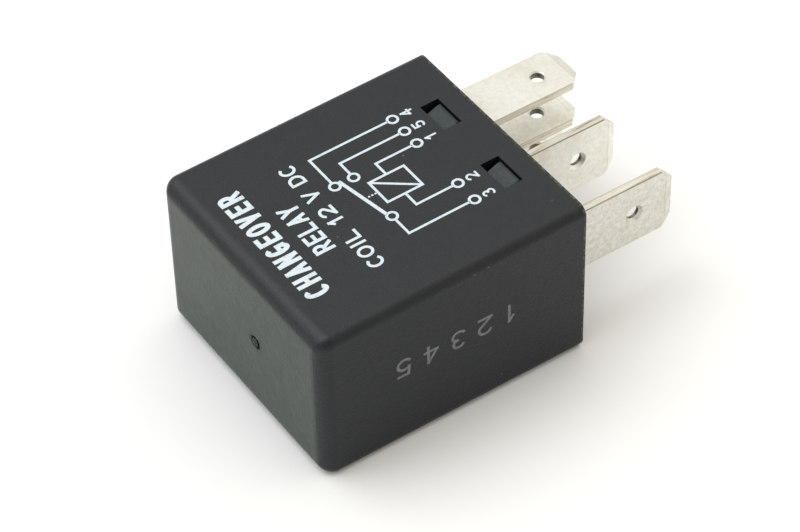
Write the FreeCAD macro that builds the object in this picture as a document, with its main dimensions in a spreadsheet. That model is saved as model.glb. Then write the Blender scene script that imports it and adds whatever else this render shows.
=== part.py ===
"""Plug-in changeover relay with five blade terminals, in millimetres.

Frame: +X runs out along the blades, +Y along the row of narrow blades' side, +Z up through the
printed broad face. The origin is under the middle of the whole relay, on the face it lies on.
Each piece is drawn in the socket frame, whose origin is on the plane of the cover's open rim,
and its Placement carries it into the part's frame.
"""
import FreeCAD, Part
import math
import os
from types import SimpleNamespace

import Sketcher
from FreeCAD import Placement, Rotation, Vector

SIZES = {
    # cover: a deep moulded box, open towards the blades
    "cover_length": 25.0,
    "cover_width": 22.8,
    "cover_height": 15.6,
    "cover_wall": 1.0,
    "top_draft": 0.5,
    "long_edge_round": 0.9,
    "end_edge_round": 1.4,
    "cavity_round": 0.4,
    "rim_bevel": 0.2,
    "window_length": 1.75,
    "window_width": 3.3,
    "window_middle": 2.93,
    "window_spread": 4.15,
    "pip_radius": 0.85,
    "pip_core_radius": 0.4,
    "pip_depth": 0.35,
    "pip_side": 2.0,
    # base plate, its catches and bosses
    "base_width": 20.66,
    "base_low": 1.06,
    "base_high": 14.46,
    "base_inset": 0.4,
    "base_thickness": 3.4,
    "base_round": 0.5,
    "boss_margin": 0.7,
    "boss_height": 0.3,
    "catch_width": 2.6,
    "catch_shift": 0.2,
    "catch_nose": 0.2,
    "catch_shoulder": 0.52,
    "catch_height": 1.0,
    "catch_start": 3.75,
    "catch_shoulder_x": 3.6,
    "catch_crest": 2.45,
    "catch_back": 2.25,
    "cheek_height": 1.25,
    "cheek_width": 10.0,
    "cheek_depth": 1.5,
    # blades
    "mid_height": 7.8,
    "wide_reach": 11.6,
    "narrow_reach": 11.35,
    "blade_thickness": 0.8,
    "wide_blade": 6.3,
    "narrow_blade": 4.8,
    "row_side": 6.3,
    "row_pitch": 4.0,
    "middle_side": 0.3,
    "common_side": 7.4,
    "tip_corner": 1.2,
    "tip_bevel_length": 0.75,
    "tip_bevel_depth": 0.24,
    "wide_hole_from_tip": 3.9,
    "narrow_hole_from_tip": 3.1,
    "wide_hole_radius": 0.6,
    "wide_hole_bevel": 0.26,
    "narrow_hole_radius": 0.58,
    "narrow_hole_bevel": 0.13,
    "edge_break": 0.14,
    # inner strips of the terminals
    "strip_width": 4.0,
    "post_root": 2.8,
    "post_side": 5.8,
    "post_width": 0.8,
    "post_depth": 7.2,
    "cross_depth": 3.4,
    "cross_gap": 1.2,
    "cross_lap": 0.4,
    "outer_strip_side": 9.6,
    "inner_strip_side": 5.6,
    "common_strip_side": 8.7,
    "common_strip_depth": 10.2,
    "strip_bend": 0.5,
    "tab_trim": 0.1,
    # magnet frame and coil
    "yoke_thickness": 1.2,
    "yoke_width": 9.0,
    "yoke_side": 7.1,
    "yoke_foot": 3.8,
    "yoke_top": 18.8,
    "yoke_reach": 2.6,
    "yoke_bend": 0.9,
    "coil_side": 1.0,
    "core_radius": 2.5,
    "core_spigot_radius": 2.0,
    "pole_radius": 4.0,
    "pole_thickness": 0.6,
    "pole_bevel": 0.2,
    "flange_size": 11.6,
    "flange_thickness": 0.8,
    "flange_gap": 0.1,
    "flange_round": 1.5,
    "tube_radius": 3.3,
    "winding_radius": 5.45,
    "winding_round": 0.4,
    "lead_radius": 0.12,
    "lead_clear": 0.02,
    "lead_bend": 0.5,
    "lead_leave_x": 7.9,
    "lead_leave_side": 0.4,
    "lead_edge_x": 7.2,
    "lead_edge_side": 1.6,
    "lead_edge_dip": 0.1,
    "lead_drop_x": 6.65,
    "lead_drop_side": 4.4,
    "lead_drop_rise": 0.35,
    "lead_tie_x": 6.7,
    "lead_overhang": 0.3,
    "solder_margin": 0.2,
    "solder_back": 0.25,
    "solder_front": 0.9,
    "solder_rise": 0.5,
    "solder_round": 0.3,
    # armature, on the hinge at the yoke's outer edge
    "hinge_gap": 0.05,
    "open_angle": 2.2,
    "armature_thickness": 1.2,
    "armature_width": 9.0,
    "armature_reach": 12.5,
    "armature_round": 0.8,
    "notch_start": 1.4,
    "notch_depth": 1.0,
    "notch_length": 1.6,
    # leaf spring and contacts
    "leaf_thickness": 0.2,
    "leaf_width": 6.0,
    "tongue_width": 3.2,
    "tongue_start": 13.2,
    "leaf_reach": 17.0,
    "leaf_foot": 11.2,
    "leaf_bulge": 0.9,
    "leaf_lift_start": 16.2,
    "leaf_lift_end": 17.6,
    "leaf_foot_bend": 1.2,
    "leaf_lift_bend": 1.0,
    "leaf_over_bend": 0.85,
    "leaf_slot_start": 16.8,
    "leaf_slot_end": 20.4,
    "leaf_slot_depth": 0.81,
    "leaf_slot_width": 2.4,
    "contact_reach": 15.8,
    "contact_radius": 1.4,
    "contact_shank": 0.6,
    "contact_round": 0.4,
    "contact_gap": 0.06,
    "moving_head": 0.65,
    "moving_back": 0.55,
    "fixed_head": 0.6,
    "fixed_tail": 0.25,
    "fixed_tail_radius": 0.95,
    "rivet_shank": 0.6,
    "rivet_head": 1.05,
    "rivet_rise": 0.35,
    "rivet_round": 0.2,
    "rivet_spread": 1.7,
    "yoke_rivet_depth": 13.0,
    "common_rivet_depth": 8.4,
    "armature_rivet_reach": 4.6,
}

doc = FreeCAD.newDocument("relay")
sheet = doc.addObject("Spreadsheet::Sheet", "Sizes")
for row, (alias, amount) in enumerate(SIZES.items(), start=1):
    sheet.set(f"A{row}", alias)
    sheet.set(f"B{row}", str(amount))
    sheet.setAlias(f"B{row}", alias)
doc.recompute()


class Size:
    """A length or angle, with the sheet expression that it comes from."""

    def __init__(self, value, text):
        self.value = value
        self.text = text

    def __add__(self, other):
        other = as_size(other)
        return Size(self.value + other.value, f"({self.text} + {other.text})")

    def __sub__(self, other):
        other = as_size(other)
        return Size(self.value - other.value, f"({self.text} - {other.text})")

    def __mul__(self, other):
        other = as_size(other)
        return Size(self.value * other.value, f"({self.text} * {other.text})")

    def __truediv__(self, other):
        other = as_size(other)
        return Size(self.value / other.value, f"({self.text} / {other.text})")

    def __radd__(self, other):
        return as_size(other) + self

    def __rsub__(self, other):
        return as_size(other) - self

    def __neg__(self):
        return as_size(0) - self


def as_size(thing):
    """Any number as a Size."""
    if isinstance(thing, Size):
        return thing
    return Size(float(thing), repr(float(thing)))


def bind(owner, path, size):
    """Tie a property to the sheet."""
    owner.setExpression(path, as_size(size).text)


s = SimpleNamespace(**{alias: Size(amount, "Sizes." + alias) for alias, amount in SIZES.items()})

# places that several pieces share, in the socket frame
rim_x = (s.cover_length - s.wide_reach) / 2
half_blade = s.blade_thickness / 2
yoke_outer_y = -(s.yoke_side + s.yoke_thickness)
hinge_x = -(s.yoke_top + s.hinge_gap)
hinge_y = yoke_outer_y
contact_y = hinge_y + s.contact_reach
coil_y = -s.coil_side
leaf_under_x = hinge_x - s.armature_thickness
leaf_top_x = leaf_under_x - s.leaf_thickness
swing = s.contact_reach * s.open_angle * (math.pi / 180)
fixed_open_x = leaf_under_x + s.moving_head + s.contact_gap
open_tab_x = fixed_open_x + s.fixed_head
fixed_closed_x = leaf_top_x - s.moving_back - s.contact_gap - swing
closed_tab_x = fixed_closed_x - s.fixed_head
through_plate = s.blade_thickness * 3

WIDE = SimpleNamespace(reach=s.wide_reach, half_width=s.wide_blade / 2,
                       hole_from_tip=s.wide_hole_from_tip, hole_radius=s.wide_hole_radius,
                       hole_bevel=s.wide_hole_bevel)
NARROW = SimpleNamespace(reach=s.narrow_reach, half_width=s.narrow_blade / 2,
                         hole_from_tip=s.narrow_hole_from_tip, hole_radius=s.narrow_hole_radius,
                         hole_bevel=s.narrow_hole_bevel)

NODES = []


# ---------------------------------------------------------------- drawing helpers

def new_body(label, hinged=False):
    """A PartDesign body placed from the socket frame, or from the hinge in its rest position."""
    body = doc.addObject("PartDesign::Body", label)
    body.Label = label
    place(body, hinged)
    return body


def place(piece, hinged=False):
    """Carry a piece into the part's frame; a hinged one leans open about the hinge."""
    if hinged:
        piece.Placement = Placement(Vector(0, 0, 0), Rotation(Vector(0, 0, 1), s.open_angle.value))
        bind(piece, "Placement.Rotation.Angle", s.open_angle)
        bind(piece, "Placement.Base.x", rim_x + hinge_x)
        bind(piece, "Placement.Base.y", hinge_y)
    else:
        bind(piece, "Placement.Base.x", rim_x)


def keep(piece):
    """Count a finished piece as one of the relay's nodes."""
    NODES.append(piece)
    return piece


def new_sketch(body, name, role, offset=0):
    """A sketch on one of the body's own origin planes, moved off it along its normal."""
    sketch = body.newObject("Sketcher::SketchObject", name)
    plane = [feature for feature in body.Origin.OriginFeatures if feature.Role == role][0]
    sketch.AttachmentSupport = [(plane, "")]
    sketch.MapMode = "FlatFace"
    bind(sketch, "AttachmentOffset.Base.z", offset)
    return sketch


def hold(sketch, kind, name, target, size):
    """One driving dimension of a sketch."""
    size = as_size(size)
    index = sketch.addConstraint(Sketcher.Constraint(kind, *target, size.value))
    sketch.renameConstraint(index, name)
    if "Sizes." in size.text:
        bind(sketch, "Constraints." + name, size)


def outline(sketch, points):
    """A closed outline, each corner held by its two distances from the sketch's origin."""
    first = sketch.GeometryCount
    count = len(points)
    corners = [Vector(as_size(across).value, as_size(up).value, 0) for across, up in points]
    for index in range(count):
        sketch.addGeometry(Part.LineSegment(corners[index], corners[(index + 1) % count]), False)
    for index, (across, up) in enumerate(points):
        edge = first + index
        sketch.addConstraint(Sketcher.Constraint("Coincident", edge, 2, first + (index + 1) % count, 1))
        hold(sketch, "DistanceX", f"across_{edge}", (-1, 1, edge, 1), across)
        hold(sketch, "DistanceY", f"up_{edge}", (-1, 1, edge, 1), up)


def rectangle(sketch, low, high):
    """A rectangle between two corners."""
    outline(sketch, [low, (high[0], low[1]), high, (low[0], high[1])])


def circle(sketch, centre, radius):
    """A circle held by its centre and radius."""
    across, up = (as_size(size) for size in centre)
    edge = sketch.addGeometry(Part.Circle(Vector(across.value, up.value, 0), Vector(0, 0, 1),
                                          as_size(radius).value), False)
    hold(sketch, "DistanceX", f"across_{edge}", (-1, 1, edge, 3), across)
    hold(sketch, "DistanceY", f"up_{edge}", (-1, 1, edge, 3), up)
    hold(sketch, "Radius", f"radius_{edge}", (edge,), radius)


def pad(body, sketch, length, side="One side", reverse=False):
    """Extrude a sketch."""
    feature = body.newObject("PartDesign::Pad", sketch.Name + "_pad")
    feature.Profile = sketch
    feature.SideType = side
    feature.Reversed = reverse
    bind(feature, "Length", length)
    doc.recompute()
    return feature


def pocket(body, sketch, length=None, side="Symmetric", reverse=False):
    """Cut a sketch out of the body, right through it when no length is given."""
    before = body.Shape.Volume
    feature = body.newObject("PartDesign::Pocket", sketch.Name + "_pocket")
    feature.Profile = sketch
    feature.SideType = side
    feature.Reversed = reverse
    if length is None:
        feature.Type = "ThroughAll"
    else:
        bind(feature, "Length", length)
    doc.recompute()
    if not body.Shape.Volume < before:
        raise RuntimeError(feature.Name + " cuts nothing")
    return feature


def dress(body, kind, name, size, wanted):
    """Round or bevel the edges of the body's tip that the test picks out."""
    base = body.Tip
    names = [f"Edge{index}" for index, edge in enumerate(base.Shape.Edges, start=1) if wanted(edge)]
    feature = body.newObject("PartDesign::" + kind, name)
    feature.Base = (base, names)
    bind(feature, "Radius" if kind == "Fillet" else "Size", size)
    doc.recompute()
    return feature


def runs_along(edge, axis, least=0.0):
    """Whether an edge is straight, mostly along an axis and at least a length long."""
    if len(edge.Vertexes) != 2 or edge.Length < as_size(least).value:
        return False
    start, end = (vertex.Point for vertex in edge.Vertexes)
    return abs((end - start).dot(axis)) > 0.98 * edge.Length


def near(number, size, slack=0.01):
    """Whether a coordinate is where a size says."""
    return abs(number - as_size(size).value) < slack


X, Y, Z = Vector(1, 0, 0), Vector(0, 1, 0), Vector(0, 0, 1)


# ---------------------------------------------------------------- cover

def make_cover():
    """The outer shell: drafted box with rounded edges, four catch windows and a moulding pip."""
    body = new_body("cover")
    end_height = s.cover_height - s.top_draft
    wall = s.cover_wall

    block = new_sketch(body, "cover_block", "XZ_Plane")
    outline(block, [(0, 0), (0, s.cover_height), (-s.cover_length, end_height), (-s.cover_length, 0)])
    pad(body, block, s.cover_width, side="Symmetric")
    dress(body, "Fillet", "cover_end_rounds", s.end_edge_round,
          lambda edge: near(edge.BoundBox.XMax, -s.cover_length))
    dress(body, "Fillet", "cover_long_rounds", s.long_edge_round,
          lambda edge: runs_along(edge, X, s.cover_length / 2))

    cavity = new_sketch(body, "cover_cavity", "XZ_Plane")
    outline(cavity, [(0, wall), (0, s.cover_height - wall),
                     (-s.cover_length + wall, end_height - wall), (-s.cover_length + wall, wall)])
    pocket(body, cavity, s.cover_width - wall * 2)
    half_cavity = s.cover_width / 2 - wall
    dress(body, "Fillet", "cavity_rounds", s.cavity_round,
          lambda edge: runs_along(edge, X, s.cover_length / 2)
          and near(abs(edge.CenterOfMass.y), half_cavity))
    edge_room = wall / 2
    dress(body, "Chamfer", "rim_bevels", s.rim_bevel,
          lambda edge: near(edge.BoundBox.XMin, 0) and near(edge.BoundBox.XMax, 0)
          and abs(edge.CenterOfMass.y) < (half_cavity + edge_room).value
          and abs(edge.CenterOfMass.z - s.mid_height.value) < (s.mid_height - edge_room).value)

    windows = new_sketch(body, "catch_windows", "XY_Plane", s.mid_height)
    for side in (-1, 1):
        rectangle(windows,
                  (-s.window_middle - s.window_length / 2,
                   s.window_spread * side - s.window_width / 2),
                  (-s.window_middle + s.window_length / 2,
                   s.window_spread * side + s.window_width / 2))
    pocket(body, windows)

    pip = new_sketch(body, "end_pip", "YZ_Plane", -s.cover_length)
    circle(pip, (-s.pip_side, s.mid_height), s.pip_radius)
    circle(pip, (-s.pip_side, s.mid_height), s.pip_core_radius)
    pocket(body, pip, s.pip_depth, side="One side", reverse=True)
    return keep(body)


# ---------------------------------------------------------------- terminals

def blade_tip(body, name, plate, kind, middle, faces):
    """Bevel a blade's tip on both faces, drill its detent hole and break its sharp edges.

    plate is the plane that the blade's flat lies in, faces are its two faces along that plane's
    normal, and middle is its centre line across the plane.
    """
    side_plane = {"XY_Plane": "XZ_Plane", "XZ_Plane": "XY_Plane"}[plate]
    bevel_start = kind.reach - s.tip_bevel_length
    bevels = new_sketch(body, name + "_tip", side_plane)
    for face, inward in zip(faces, (1, -1)):
        outline(bevels, [(bevel_start, face), (kind.reach, face),
                         (kind.reach, face + s.tip_bevel_depth * inward)])
    pocket(body, bevels)

    hole = new_sketch(body, name + "_hole", plate)
    circle(hole, (kind.reach - kind.hole_from_tip, middle), kind.hole_radius)
    pocket(body, hole)
    dress(body, "Chamfer", name + "_hole_bevels", kind.hole_bevel,
          lambda edge: isinstance(edge.Curve, Part.Circle)
          and near(edge.Curve.Radius, kind.hole_radius) and edge.CenterOfMass.x > 0)
    wide = {"XY_Plane": "y", "XZ_Plane": "z"}[plate]
    dress(body, "Fillet", name + "_edge_breaks", s.edge_break,
          lambda edge: runs_along(edge, X, kind.reach / 2) and edge.CenterOfMass.x > 0
          and near(abs(getattr(edge.CenterOfMass, wide) - as_size(middle).value), kind.half_width))


def blade_outline(root, middle, kind, inner):
    """A blade's outline: clipped tip corners, then the points of its inner part, clockwise."""
    tip = kind.reach
    spread = kind.half_width
    clip = s.tip_corner
    return [(root, middle + spread), (tip - clip, middle + spread), (tip, middle + spread - clip),
            (tip, middle - spread + clip), (tip - clip, middle - spread),
            (root, middle - spread)] + inner


def make_coil_terminal(label, step):
    """Narrow flat blade at the row's top or bottom, with a post that the coil's wire is tied to."""
    body = new_body(label)
    level = s.mid_height + s.row_pitch * step
    root = -s.post_root
    post_high = s.post_side + s.post_width / 2
    post_low = s.post_side - s.post_width / 2
    flat = new_sketch(body, label + "_flat", "XY_Plane", level)
    outline(flat, blade_outline(root, s.row_side, NARROW,
                                [(root, post_low), (-s.post_depth, post_low),
                                 (-s.post_depth, post_high), (root, post_high)]))
    pad(body, flat, s.blade_thickness, side="Symmetric")
    blade_tip(body, label, "XY_Plane", NARROW, s.row_side, (level - half_blade, level + half_blade))
    return keep(body)


def make_break_terminal():
    """Middle blade of the row, folded into a strip that climbs outside to the resting contact."""
    label = "terminal_4"
    body = new_body(label)
    root = -s.cross_depth + s.cross_gap
    face = s.outer_strip_side + half_blade
    inside = s.outer_strip_side - half_blade
    flat = new_sketch(body, label + "_flat", "XY_Plane", s.mid_height)
    outline(flat, [(root, face), (root + s.cross_gap, face)]
            + [(root + s.cross_gap, s.row_side + NARROW.half_width)]
            + blade_outline(root, s.row_side, NARROW, [])[1:])
    pad(body, flat, s.blade_thickness, side="Symmetric")
    strip = new_sketch(body, label + "_strip", "XY_Plane", s.mid_height)
    tab_top = closed_tab_x - s.blade_thickness
    tab_end = contact_y - s.contact_radius
    outline(strip, [(root + s.cross_gap, face), (root + s.cross_gap, inside), (closed_tab_x, inside),
                    (closed_tab_x, tab_end), (tab_top, tab_end), (tab_top, face)])
    pad(body, strip, s.strip_width, side="Symmetric")
    dress(body, "Fillet", label + "_bend", s.strip_bend,
          lambda edge: runs_along(edge, Z, s.strip_width / 2) and near(edge.CenterOfMass.x, tab_top)
          and near(edge.CenterOfMass.y, face))
    hole = new_sketch(body, label + "_rivet_hole", "YZ_Plane", closed_tab_x)
    circle(hole, (contact_y, s.mid_height), s.contact_shank)
    pocket(body, hole, through_plate)
    blade_tip(body, label, "XY_Plane", NARROW, s.row_side,
              (s.mid_height - half_blade, s.mid_height + half_blade))
    return keep(body)


def make_work_terminal():
    """Wide blade under the coil, folded across the base and up to the working contact."""
    label = "terminal_5"
    body = new_body(label)
    near_face = s.middle_side - half_blade
    far_face = s.middle_side + half_blade
    flat = new_sketch(body, label + "_flat", "XZ_Plane", -s.middle_side)
    root = -s.cross_depth
    outline(flat, blade_outline(root + s.blade_thickness, s.mid_height, WIDE, []))
    pad(body, flat, s.blade_thickness, side="Symmetric")
    strip = new_sketch(body, label + "_strip", "XY_Plane", s.mid_height)
    step_x = root + s.blade_thickness
    inside = s.inner_strip_side - half_blade
    outside = s.inner_strip_side + half_blade
    tab_end = contact_y + s.contact_radius - s.tab_trim
    tab_under = open_tab_x + s.blade_thickness
    outline(strip, [(step_x + s.cross_lap, near_face), (step_x + s.cross_lap, far_face),
                    (step_x, far_face),
                    (step_x, outside), (tab_under, outside), (tab_under, tab_end),
                    (open_tab_x, tab_end), (open_tab_x, inside), (root, inside),
                    (root, near_face)])
    pad(body, strip, s.strip_width, side="Symmetric")
    dress(body, "Fillet", label + "_bends", s.strip_bend,
          lambda edge: runs_along(edge, Z, s.strip_width / 2)
          and (near(edge.CenterOfMass.x, open_tab_x) or near(edge.CenterOfMass.x, root))
          and (near(edge.CenterOfMass.y, inside) or near(edge.CenterOfMass.y, near_face))
          and not (near(edge.CenterOfMass.x, root) and near(edge.CenterOfMass.y, inside)))
    hole = new_sketch(body, label + "_rivet_hole", "YZ_Plane", open_tab_x)
    circle(hole, (contact_y, s.mid_height), s.contact_shank)
    pocket(body, hole, through_plate)
    blade_tip(body, label, "XZ_Plane", WIDE, s.mid_height, (near_face, far_face))
    return keep(body)


def make_common_terminal():
    """Wide blade at the yoke's side, stepped outwards to lie against the yoke."""
    label = "terminal_3"
    body = new_body(label)
    flat = new_sketch(body, label + "_flat", "XZ_Plane", s.common_side)
    root = -s.cross_depth + s.cross_gap
    outline(flat, blade_outline(root, s.mid_height, WIDE, []))
    pad(body, flat, s.blade_thickness, side="Symmetric")
    strip = new_sketch(body, label + "_strip", "XY_Plane", s.mid_height)
    inner_face = -s.common_side + half_blade
    outer_face = -s.common_strip_side - half_blade
    strip_face = -s.common_strip_side + half_blade
    outline(strip, [(root + s.blade_thickness, inner_face), (root, inner_face), (root, strip_face),
                    (-s.common_strip_depth, strip_face), (-s.common_strip_depth, outer_face),
                    (root + s.blade_thickness, outer_face)])
    pad(body, strip, s.strip_width, side="Symmetric")
    hole = new_sketch(body, label + "_rivet_hole", "XZ_Plane", s.common_strip_side)
    circle(hole, (-s.common_rivet_depth, s.mid_height), s.contact_shank)
    pocket(body, hole, through_plate)
    blade_tip(body, label, "XZ_Plane", WIDE, s.mid_height,
              (-s.common_side - half_blade, -s.common_side + half_blade))
    return keep(body)


# ---------------------------------------------------------------- base plate

def make_base(terminals):
    """The moulded plate that closes the cover, holding the five terminals and four catches."""
    body = new_body("base_moulding")
    half_width = s.base_width / 2
    face_x = -s.base_inset
    inner_x = face_x - s.base_thickness
    slab = new_sketch(body, "base_slab", "YZ_Plane", face_x)
    rectangle(slab, (-half_width, s.base_low), (half_width, s.base_high))
    pad(body, slab, s.base_thickness, reverse=True)
    dress(body, "Fillet", "base_rounds", s.base_round, lambda edge: runs_along(edge, X))

    bosses = new_sketch(body, "blade_bosses", "YZ_Plane", face_x)
    thin = half_blade + s.boss_margin
    wide = WIDE.half_width + s.boss_margin
    narrow = NARROW.half_width + s.boss_margin
    for side in (-s.common_side, s.middle_side):
        rectangle(bosses, (side - thin, s.mid_height - wide), (side + thin, s.mid_height + wide))
    for step in (-1, 0, 1):
        level = s.mid_height + s.row_pitch * step
        rectangle(bosses, (s.row_side - narrow, level - thin), (s.row_side + narrow, level + thin))
    pad(body, bosses, s.boss_height)

    cheeks = new_sketch(body, "yoke_cheeks", "YZ_Plane", inner_x)
    cheek_start = coil_y - s.cheek_width / 2
    cheek_stop = coil_y + s.cheek_width / 2
    yoke_low = s.mid_height - s.yoke_width / 2
    yoke_high = s.mid_height + s.yoke_width / 2
    rectangle(cheeks, (cheek_start, yoke_low - s.cheek_depth), (cheek_stop, yoke_low))
    rectangle(cheeks, (cheek_start, yoke_high), (cheek_stop, yoke_high + s.cheek_depth))
    pad(body, cheeks, s.cheek_height, reverse=True)

    for name, side in (("far_catches", s.window_spread), ("near_catches", -s.window_spread)):
        catch = new_sketch(body, name, "XZ_Plane", s.catch_shift - side)
        for face, outward in ((s.base_high, 1), (s.base_low, -1)):
            outline(catch, [(-s.catch_start, face), (-s.catch_start, face + s.catch_nose * outward),
                            (-s.catch_shoulder_x, face + s.catch_shoulder * outward),
                            (-s.catch_crest, face + s.catch_height * outward),
                            (-s.catch_back, face + s.catch_height * outward),
                            (-s.catch_back, face)])
        pad(body, catch, s.catch_width, side="Symmetric")

    inserts = doc.addObject("Part::Compound", "terminal_inserts")
    inserts.Links = terminals
    base = doc.addObject("Part::Cut", "base_plate")
    base.Base = body
    base.Tool = inserts
    base.Label = "base_plate"
    doc.recompute()
    return keep(base)


# ---------------------------------------------------------------- magnet and coil

def make_yoke():
    """L-shaped iron frame: a foot under the coil and a leg up its side to the hinge edge."""
    body = new_body("yoke")
    foot_top = -(s.yoke_foot + s.yoke_thickness)
    profile = new_sketch(body, "yoke_profile", "XY_Plane", s.mid_height)
    outline(profile, [(-s.yoke_foot, s.yoke_reach), (-s.yoke_foot, yoke_outer_y),
                      (-s.yoke_top, yoke_outer_y), (-s.yoke_top, -s.yoke_side),
                      (foot_top, -s.yoke_side), (foot_top, s.yoke_reach)])
    pad(body, profile, s.yoke_width, side="Symmetric")
    dress(body, "Fillet", "yoke_bend_round", s.yoke_bend,
          lambda edge: runs_along(edge, Z) and near(edge.CenterOfMass.x, -s.yoke_foot)
          and near(edge.CenterOfMass.y, yoke_outer_y))
    seat = new_sketch(body, "core_seat", "YZ_Plane", -s.yoke_foot)
    circle(seat, (coil_y, s.mid_height), s.core_spigot_radius)
    pocket(body, seat, s.yoke_thickness * 2)
    rivets = new_sketch(body, "yoke_rivet_holes", "XZ_Plane", s.yoke_side)
    for rise in (-1, 1):
        circle(rivets, (-s.yoke_rivet_depth, s.mid_height + s.rivet_spread * rise), s.rivet_shank)
    circle(rivets, (-s.common_rivet_depth, s.mid_height), s.contact_shank)
    pocket(body, rivets, s.yoke_thickness * 2)
    return keep(body)


def turned(label, centre_y, points, hinged=False):
    """A piece turned about a line along X at mid height, from (x, radius) points."""
    body = new_body(label, hinged)
    half = new_sketch(body, label + "_profile", "XY_Plane", s.mid_height)
    start = as_size(points[0][0])
    stop = as_size(points[-1][0])
    centre_y = as_size(centre_y)
    axis = half.addGeometry(Part.LineSegment(Vector(start.value, centre_y.value, 0),
                                             Vector(stop.value, centre_y.value, 0)), True)
    for end, place_x in ((1, start), (2, stop)):
        hold(half, "DistanceX", f"axis_x_{end}", (-1, 1, axis, end), place_x)
        hold(half, "DistanceY", f"axis_y_{end}", (-1, 1, axis, end), centre_y)
    outline(half, [(along, centre_y + radius) for along, radius in points])
    spin = body.newObject("PartDesign::Revolution", label + "_turned")
    spin.Profile = half
    spin.ReferenceAxis = (half, ["Axis0"])
    spin.Angle = 360
    doc.recompute()
    return body


def is_ring(edge, along, radius):
    """Whether an edge is a circle about X at a place along X."""
    return (isinstance(edge.Curve, Part.Circle) and near(edge.CenterOfMass.x, along)
            and near(edge.Curve.Radius, radius))


def make_core():
    """Iron core: a spigot riveted in the yoke's foot, a round bar and a wide pole face."""
    foot_top = -(s.yoke_foot + s.yoke_thickness)
    pole_under = -s.yoke_top + s.pole_thickness
    return keep(turned("iron_core", coil_y, [
        (-s.yoke_foot, 0), (-s.yoke_foot, s.core_spigot_radius), (foot_top, s.core_spigot_radius),
        (foot_top, s.core_radius), (pole_under, s.core_radius), (pole_under, s.pole_radius),
        (-s.yoke_top + s.pole_bevel, s.pole_radius), (-s.yoke_top, s.pole_radius - s.pole_bevel),
        (-s.yoke_top, 0)]))


def make_bobbin():
    """Moulded former: two square flanges joined by a tube round the core."""
    body = new_body("coil_bobbin")
    lower = -(s.yoke_foot + s.yoke_thickness + s.flange_gap)
    upper = -s.yoke_top + s.pole_thickness
    half = s.flange_size / 2
    for name, start in (("lower_flange", lower), ("upper_flange", upper + s.flange_thickness)):
        flange = new_sketch(body, name, "YZ_Plane", start)
        rectangle(flange, (coil_y - half, s.mid_height - half), (coil_y + half, s.mid_height + half))
        pad(body, flange, s.flange_thickness, reverse=True)
        if name == "lower_flange":
            tube = new_sketch(body, "bobbin_tube", "YZ_Plane", start)
            circle(tube, (coil_y, s.mid_height), s.tube_radius)
            pad(body, tube, lower - upper, reverse=True)
    dress(body, "Fillet", "flange_rounds", s.flange_round,
          lambda edge: runs_along(edge, X) and near(edge.Length, s.flange_thickness))
    bore = new_sketch(body, "bobbin_bore", "YZ_Plane")
    circle(bore, (coil_y, s.mid_height), s.core_radius)
    pocket(body, bore)
    return keep(body)


def make_winding():
    """The wound wire as one closed ring between the flanges."""
    lower = -(s.yoke_foot + s.yoke_thickness + s.flange_gap + s.flange_thickness)
    upper = -s.yoke_top + s.pole_thickness + s.flange_thickness
    edge = s.winding_round
    return keep(turned("coil_winding", coil_y, [
        (lower, s.tube_radius), (lower, s.winding_radius - edge), (lower - edge, s.winding_radius),
        (upper + edge, s.winding_radius), (upper, s.winding_radius - edge),
        (upper, s.tube_radius)]))


def rounded_route(points, radii):
    """Line and arc edges through points, with a tangent arc of its own radius at each corner."""
    edges = []
    start = points[0]
    for index, radius in enumerate(radii, start=1):
        corner = points[index]
        incoming = (corner - points[index - 1]).normalize()
        outgoing = (points[index + 1] - corner).normalize()
        half_turn = incoming.getAngle(outgoing) / 2
        cut = radius * math.tan(half_turn)
        bisector = (outgoing - incoming).normalize()
        enter = corner - incoming * cut
        leave = corner + outgoing * cut
        middle = corner + bisector * (radius / math.cos(half_turn) - radius)
        edges.append(Part.LineSegment(start, enter).toShape())
        edges.append(Part.Arc(enter, middle, leave).toShape())
        start = leave
    edges.append(Part.LineSegment(start, points[-1]).toShape())
    return Part.Wire(edges)


def make_lead(label, side):
    """A coil end: off the winding, over the flange's corner and to its terminal's post."""
    wire = s.lead_radius
    over_winding = s.winding_radius + wire
    on_post = s.row_pitch + half_blade + wire
    stops = [(-s.lead_leave_x, -s.lead_leave_side, over_winding + s.lead_clear),
             (-s.lead_edge_x, s.lead_edge_side, over_winding - s.lead_edge_dip),
             (-s.lead_drop_x, s.lead_drop_side, on_post + s.lead_drop_rise),
             (-s.lead_tie_x, s.post_side + s.lead_overhang, on_post)]
    points = [Vector(along.value, across.value, (s.mid_height + rise * side).value)
              for along, across, rise in stops]
    route = rounded_route(points, [s.lead_bend.value] * (len(points) - 2))
    ring = Part.Wire(Part.Circle(points[0], points[1] - points[0], wire.value).toShape())
    lead = doc.addObject("Part::Feature", label)
    lead.Label = label
    lead.Shape = route.makePipeShell([ring], True, True)
    place(lead)
    return keep(lead)


def make_solder(label, side):
    """A rounded blob of solder round the tip of a coil terminal's post."""
    body = new_body(label + "_blob")
    level = s.mid_height + s.row_pitch * side
    reach = s.post_width / 2 + s.solder_margin
    blob = new_sketch(body, label + "_outline", "XY_Plane", level)
    rectangle(blob, (-s.post_depth - s.solder_back, s.post_side - reach),
              (-s.post_depth + s.solder_front, s.post_side + reach))
    pad(body, blob, s.blade_thickness + s.solder_rise, side="Symmetric")
    dress(body, "Fillet", label + "_rounding", s.solder_round, lambda edge: True)
    solder = doc.addObject("Part::Cut", label)
    terminal = doc.getObject({1: "terminal_1", -1: "terminal_2"}[side])
    lead = doc.getObject({1: "coil_lead_start", -1: "coil_lead_end"}[side])
    inserts = doc.addObject("Part::Compound", label + "_inserts")
    inserts.Links = [terminal, lead]
    solder.Base = body
    solder.Tool = inserts
    solder.Label = label
    doc.recompute()
    return keep(solder)


# ---------------------------------------------------------------- armature and contacts

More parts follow.
